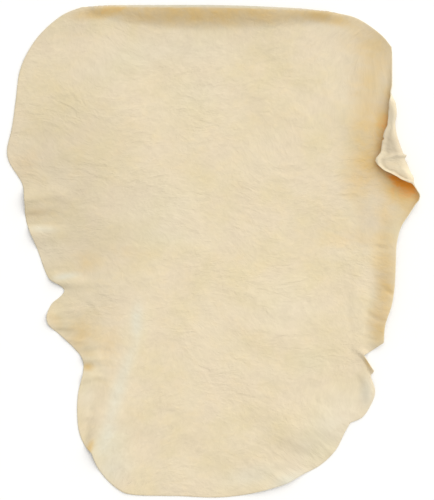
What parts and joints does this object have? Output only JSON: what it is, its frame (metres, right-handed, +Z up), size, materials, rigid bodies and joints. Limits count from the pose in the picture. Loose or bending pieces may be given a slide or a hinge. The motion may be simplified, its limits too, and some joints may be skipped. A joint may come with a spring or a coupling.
{
  "type": "chamois cloth",
  "caption": "Whole chamois skin laid flat, with a natural uneven outline, its top edge tucked under and its right edge curling over.",
  "frame": {"origin": "centre of the bounding box, on the surface that the skin lies on", "axes": "+X to the curled edge, +Y to the tucked edge, +Z up out of the face"},
  "size_m": [0.618, 0.738, 0.0238],
  "materials": {
    "suede": "napped suede, matte, pale cream"
  },
  "bodies": {
    "root": {"chamois_skin": "suede"}
  },
  "joints": []
}
